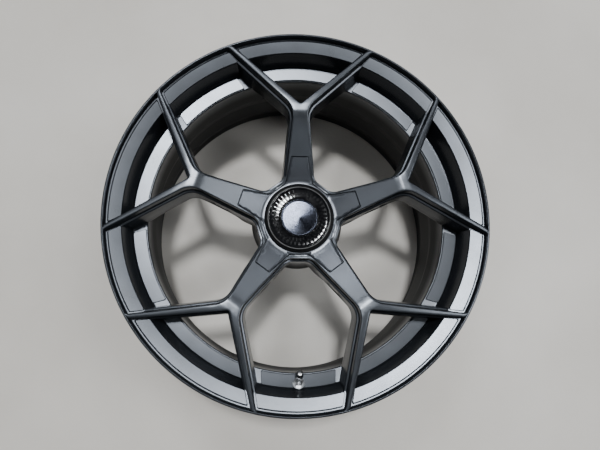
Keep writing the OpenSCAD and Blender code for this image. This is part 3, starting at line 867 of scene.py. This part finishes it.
def make_valve_stem():
    """Foot, threaded shank and mouth of the valve, bored through."""
    top = VALVE_OUT
    shank, neck, bore = 4, 3.85, 1.6
    profile = [(bore, -10.8), (7.2, -10.8), (8.3, -9.8), (8.4, -8.4), (8.1, -8.2),
               (shank, -8.2), (shank, -1)]
    profile += thread(shank, 0.6, top - 9.4)
    profile += [(neck, top - 9)] + thread(neck, top - 8.6, top - 0.8)
    profile += [(3.4, top), (2.6, top), (2.6, 11), (bore, 11)]
    piece = solid("threaded_stem", profile, STEM_AROUND)
    put_on_valve(piece)
    return piece


def make_valve_cap():
    """Metal cap with fine grip ribs, hollow inside."""
    base = VALVE_OUT - CAP_LENGTH
    ribs = 28
    count = ribs * 6

    def ribbed(r, z, rib):
        """Points round the cap; every rib rises to a ridge and falls again."""
        return [(*ray((0, 0), 360 * i / count, r + rib * abs(2 * ((i * ribs / count) % 1) - 1)),
                 base + z) for i in range(count)]

    # Down the bore, then up the outside, as (radius, height, height of the ribs).
    bore = [(4.1, 9.5, 0), (4.1, 0, 0)]
    outside = [(4.5, 0, 0), (4.85, 0.35, 0), (4.85, 0.9, 0), (4.85, 1.2, 0.3), (4.85, 7.2, 0.3),
               (4.85, 7.6, 0), (4.85, 8.6, 0), (4.5, 9.7, 0), (3.5, 10.6, 0), (2.6, 10.95, 0),
               (0.6, 11, 0)]
    shell = Shell()
    index = shell.levels([ribbed(*level) for level in bore + outside])
    shell.faces += [tuple(index[0]), tuple(index[-1])]
    piece = shell.build("ribbed_cap", ROUNDED)
    put_on_valve(piece)
    return piece


# ---------- materials ----------

class Nodes:
    """A material's node tree with short names for what the surfaces here need."""

    def __init__(self, name, **constants):
        self.material = bpy.data.materials.new(name)
        self.material.use_nodes = True
        self.tree = self.material.node_tree
        self.shader = self.tree.nodes["Principled BSDF"]
        for socket, value in constants.items():
            self.shader.inputs[socket.replace("_", " ")].default_value = value
        self.place = self.tree.nodes.new("ShaderNodeTexCoord").outputs["Object"]

    def link(self, a, b):
        self.tree.links.new(a, b)

    def noise(self, scale, detail, stretch=None):
        node = self.tree.nodes.new("ShaderNodeTexNoise")
        node.inputs["Scale"].default_value = scale
        node.inputs["Detail"].default_value = detail
        place = self.place
        if stretch:
            mapping = self.tree.nodes.new("ShaderNodeMapping")
            mapping.inputs["Scale"].default_value = stretch
            self.link(place, mapping.inputs["Vector"])
            place = mapping.outputs["Vector"]
        self.link(place, node.inputs["Vector"])
        return node.outputs["Fac"]

    def spread(self, value, low, high, start=0.3, end=0.7):
        """A value that goes from low to high while another goes from start to end."""
        node = self.tree.nodes.new("ShaderNodeMapRange")
        node.inputs["From Min"].default_value = start
        node.inputs["From Max"].default_value = end
        node.inputs["To Min"].default_value = low
        node.inputs["To Max"].default_value = high
        self.link(value, node.inputs["Value"])
        return node.outputs["Result"]

    def blend(self, value, colour_a, colour_b):
        """One of two colours or a mix of them."""
        node = self.tree.nodes.new("ShaderNodeMix")
        node.data_type = "RGBA"
        node.inputs["A"].default_value = (*colour_a, 1)
        node.inputs["B"].default_value = (*colour_b, 1)
        self.link(value, node.inputs["Factor"])
        return node.outputs["Result"]

    def over(self, value, colour, base):
        """A colour laid over a colour that another node makes."""
        node = self.tree.nodes.new("ShaderNodeMix")
        node.data_type = "RGBA"
        node.inputs["B"].default_value = (*colour, 1)
        self.link(base, node.inputs["A"])
        self.link(value, node.inputs["Factor"])
        return node.outputs["Result"]

    def height(self):
        """Height above the rear flange, in metres."""
        split = self.tree.nodes.new("ShaderNodeSeparateXYZ")
        self.link(self.place, split.inputs["Vector"])
        return split.outputs["Z"]

    def lift(self, value, by, amount):
        """value + by * amount."""
        node = self.tree.nodes.new("ShaderNodeMath")
        node.operation = "MULTIPLY_ADD"
        node.inputs[1].default_value = amount
        self.link(by, node.inputs[0])
        self.link(value, node.inputs[2])
        return node.outputs["Value"]

    def colour(self, value):
        self.link(value, self.shader.inputs["Base Color"])

    def rough(self, value):
        self.link(value, self.shader.inputs["Roughness"])

    def bump(self, height, distance, strength):
        node = self.tree.nodes.new("ShaderNodeBump")
        node.inputs["Distance"].default_value = distance
        node.inputs["Strength"].default_value = strength
        self.link(height, node.inputs["Height"])
        self.link(node.outputs["Normal"], self.shader.inputs["Normal"])


# Heights between which the colour darkens as painted shade and the coat gets rougher, down inside the barrel, in
# metres, and how rough it is there.
SHADE_AND_ROUGH_HEIGHTS = ((PAD + 8) * MM, (LEDGE_IN[1] - 4) * MM)
DRY_ROUGHNESS = 0.62


def satin_paint(name, dark, light, rough):
    """Satin coat: slow colour drift, fine flake and orange peel; painted shade and more roughness deep inside the
    barrel.
    """
    n = Nodes(name, Metallic=0.6)
    drift = n.spread(n.noise(30, 3), 0, 1)
    base = n.blend(drift, dark, light)
    flake = n.spread(n.noise(2600, 1), 0, 0.22, 0.52, 0.72)
    base = n.over(flake, tuple(1.9 * c for c in light), base)
    deep_shade_and_rough = n.spread(n.height(), 1, 0, *SHADE_AND_ROUGH_HEIGHTS)
    # Painted shade: deep inside the barrel the colour is darkened towards 0.3 of the dark colour.
    n.colour(n.over(deep_shade_and_rough, tuple(0.3 * c for c in dark), base))
    fine = n.spread(n.noise(900, 3), rough - 0.02, rough + 0.02)
    n.rough(n.lift(fine, deep_shade_and_rough, DRY_ROUGHNESS - rough))
    n.bump(n.noise(900, 2), 0.00002, 0.4)
    return n.material


def dark_coat(name, ior, colours, roughness, bump):
    """Dark non-metal; each of its three features has a noise (scale, detail) and its values."""
    n = Nodes(name, IOR=ior)
    scale, detail, dark, light = colours
    n.colour(n.blend(n.spread(n.noise(scale, detail), 0, 1), dark, light))
    scale, detail, low_rough, high_rough = roughness
    n.rough(n.spread(n.noise(scale, detail), low_rough, high_rough))
    scale, detail, distance, strength = bump
    n.bump(n.noise(scale, detail), distance, strength)
    return n.material


def machined(name, dark, light, rough):
    """Turned metal: fine marks round the axis and a roughness that drifts a little."""
    n = Nodes(name, Metallic=1.0)
    marks = n.noise(260, 3, (1, 1, 30))
    n.colour(n.blend(n.spread(marks, 0, 1), dark, light))
    n.rough(n.spread(n.noise(90, 3), rough - 0.05, rough + 0.07))
    n.bump(marks, 0.00003, 0.5)
    return n.material


def spun(name):
    """Spun disc: anisotropic about the wheel's axis, with fine rings."""
    n = Nodes(name, Metallic=1.0, Anisotropic=0.93)
    tangent = n.tree.nodes.new("ShaderNodeTangent")
    tangent.direction_type = "RADIAL"
    tangent.axis = "Z"
    n.link(tangent.outputs["Tangent"], n.shader.inputs["Tangent"])
    wave = n.tree.nodes.new("ShaderNodeTexWave")
    wave.wave_type = "RINGS"
    wave.rings_direction = "Z"
    wave.inputs["Scale"].default_value = 420
    wave.inputs["Distortion"].default_value = 0.6
    n.link(n.place, wave.inputs["Vector"])
    n.colour(n.blend(wave.outputs["Fac"], (0.030, 0.033, 0.045), (0.050, 0.055, 0.070)))
    n.rough(n.spread(n.noise(200, 2), 0.17, 0.21))
    n.bump(wave.outputs["Fac"], 0.00002, 0.4)
    return n.material


# The finish of each of the record's material slots.
SURFACES = {
    "forging": satin_paint("satin_graphite", (0.024, 0.027, 0.032), (0.033, 0.037, 0.044), 0.24),
    "cover": satin_paint("satin_cover", (0.028, 0.031, 0.037), (0.038, 0.042, 0.050), 0.25),
    "black_anodised": dark_coat(
        "black_anodised", 1.3, (40, 3, (0.003, 0.003, 0.0035), (0.007, 0.007, 0.0075)),
        (700, 2, 0.26, 0.34), (1500, 2, 0.00003, 0.5)),
    "gloss_black": dark_coat(
        "gloss_black", 1.38, (120, 2, (0.004, 0.004, 0.005), (0.009, 0.009, 0.010)),
        (300, 3, 0.05, 0.08), (900, 2, 0.00002, 0.3)),
    "spun_aluminium": spun("spun_aluminium"),
    "turned_aluminium": machined("turned_aluminium", (0.42, 0.43, 0.45), (0.58, 0.59, 0.61), 0.32),
    "valve_steel": machined("nickel_plate", (0.40, 0.40, 0.40), (0.56, 0.56, 0.57), 0.26),
    "screw_steel": machined("zinc_plate", (0.36, 0.37, 0.39), (0.52, 0.53, 0.55), 0.34),
    "brass": machined("turned_brass", (0.46, 0.33, 0.13), (0.62, 0.47, 0.22), 0.30),
    "rubber": dark_coat(
        "moulded_rubber", 1.45, (180, 4, (0.010, 0.010, 0.010), (0.026, 0.025, 0.024)),
        (500, 2, 0.62, 0.82), (1400, 3, 0.00005, 0.6)),
    "clip_plastic": dark_coat(
        "moulded_black", 1.47, (220, 4, (0.014, 0.014, 0.016), (0.026, 0.026, 0.028)),
        (800, 2, 0.42, 0.58), (2200, 2, 0.00003, 0.6)),
}


def dress(piece, slot):
    """Gives a piece the finish of one of the record's material slots."""
    piece.data.materials.clear()
    piece.data.materials.append(SURFACES[slot])


# ---------- putting the object together ----------

def place(piece, body, slot, *nodes):
    """Puts a piece on its body, where it may stand for some CAD nodes."""
    dress(piece, slot)
    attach(piece, body)
    if nodes:
        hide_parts(*nodes)


for part in frame["record"]["subparts"]:
    dress(frame["nodes"][part["node"]], part["material_slot"])

place(make_rim(), "wheel", "forging", "rim_front", "rim_barrel", "rim_rear")
place(make_plates(), "wheel", "forging")
place(make_ledge_pads(), "wheel", "forging")
place(make_spokes(), "wheel", "forging", "hub_centre",
      *[f"spoke_{k + 1}" for k in range(SPOKES)])
place(make_cover(), "cover", "cover", "lug_cover")
place(make_collar(), "collar", "black_anodised", "lock_collar")
place(make_lock_ring(), "ring", "gloss_black", "lock_ring")
place(make_badge(), "badge", "spun_aluminium", "badge_disc")
place(make_valve_stem(), "wheel", "turned_aluminium", "valve_stem")
place(make_valve_cap(), "cap", "valve_steel", "valve_cap")


def squash_spring():
    """Gives the spring of the valve's core a mesh of its own."""
    spring = frame["nodes"]["valve_core_spring"]
    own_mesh(spring)


squash_spring()


# ---------- floor, lights and camera ----------

def make_floor():
    """Pale, slightly mottled floor, in metres."""
    half = 6.0
    mesh = bpy.data.meshes.new("floor")
    mesh.from_pydata([(-half, -half, 0), (half, -half, 0), (half, half, 0), (-half, half, 0)],
                     [], [(0, 1, 2, 3)])
    floor = bpy.data.objects.new("floor", mesh)
    bpy.context.scene.collection.objects.link(floor)
    n = Nodes("pale_floor")
    n.colour(n.blend(n.spread(n.noise(3, 5), 0, 1), (0.52, 0.485, 0.44), (0.61, 0.575, 0.53)))
    n.rough(n.spread(n.noise(40, 3), 0.55, 0.75))
    n.bump(n.noise(160, 5), 0.0006, 0.4)
    mesh.materials.append(n.material)


def make_camera():
    """Camera at the photograph's angle, a little off the wheel's axis."""
    data = bpy.data.cameras.new("camera")
    data.lens, data.sensor_width = 27, 36
    data.clip_start, data.clip_end = 0.01, 50
    camera = bpy.data.objects.new("camera", data)
    pitch, yaw = -0.1546, 0.0689
    to_camera = Matrix.Rotation(pitch, 3, "X") @ Matrix.Rotation(yaw, 3, "Y")
    spot = Vector((-0.0420, -0.1077, 0.5916 + LIP * MM))
    camera.matrix_world = Matrix.Translation(spot) @ to_camera.transposed().to_4x4()
    bpy.context.scene.collection.objects.link(camera)
    bpy.context.scene.camera = camera


def make_world():
    """Faint, slightly blue light from all round."""
    world = bpy.data.worlds.new("studio")
    bpy.context.scene.world = world
    world.use_nodes = True
    background = world.node_tree.nodes["Background"]
    background.inputs["Color"].default_value = (0.80, 0.86, 0.95, 1)
    background.inputs["Strength"].default_value = 0.015


# Soft lights as (name, place and size in metres, power in watts, colour). The key lights the
# leaning plates on the near side and the ledge on the far side, the panels model the spokes,
# and the two low side lights draw their edges and the outside of the barrel.
LIGHTS = [
    ("key", (-0.1, 1.45, 6.2), (0.6, 0.6), 300, (0.95, 0.98, 1)),
    ("right_panel", (1.25, 0.05, 2.4), (0.6, 0.9), 24, (0.93, 0.97, 1)),
    ("left_panel", (-0.9, 0.1, 2.4), (0.5, 0.8), 5, (0.93, 0.97, 1)),
    ("front_panel", (0.15, -0.65, 2.4), (0.7, 0.4), 2, (0.93, 0.97, 1)),
    ("back_left_panel", (-0.42, 1.35, 2.4), (0.6, 0.4), 16, (0.92, 0.96, 1)),
    ("back_right_panel", (0.75, 1.4, 2.4), (0.7, 0.4), 8, (0.92, 0.96, 1)),
    ("left_side", (-2.2, -1.3, 0.45), (1.6, 0.6), 22, (0.97, 0.98, 1)),
    ("right_side", (2.3, -1.0, 0.45), (1.6, 0.6), 22, (0.97, 0.98, 1)),
]


def soft_light(name, location, size, power, colour):
    """A rectangular lamp that faces the middle of the wheel's face."""
    data = bpy.data.lights.new(name, "AREA")
    data.shape = "RECTANGLE"
    data.size, data.size_y = size
    data.energy = power
    data.color = colour
    light = bpy.data.objects.new(name, data)
    light.location = location
    light.rotation_mode = "QUATERNION"
    towards = Vector((0, 0, LIP * MM)) - Vector(location)
    light.rotation_quaternion = towards.to_track_quat("-Z", "Y")
    bpy.context.scene.collection.objects.link(light)


make_floor()
make_camera()
make_world()
for settings in LIGHTS:
    soft_light(*settings)
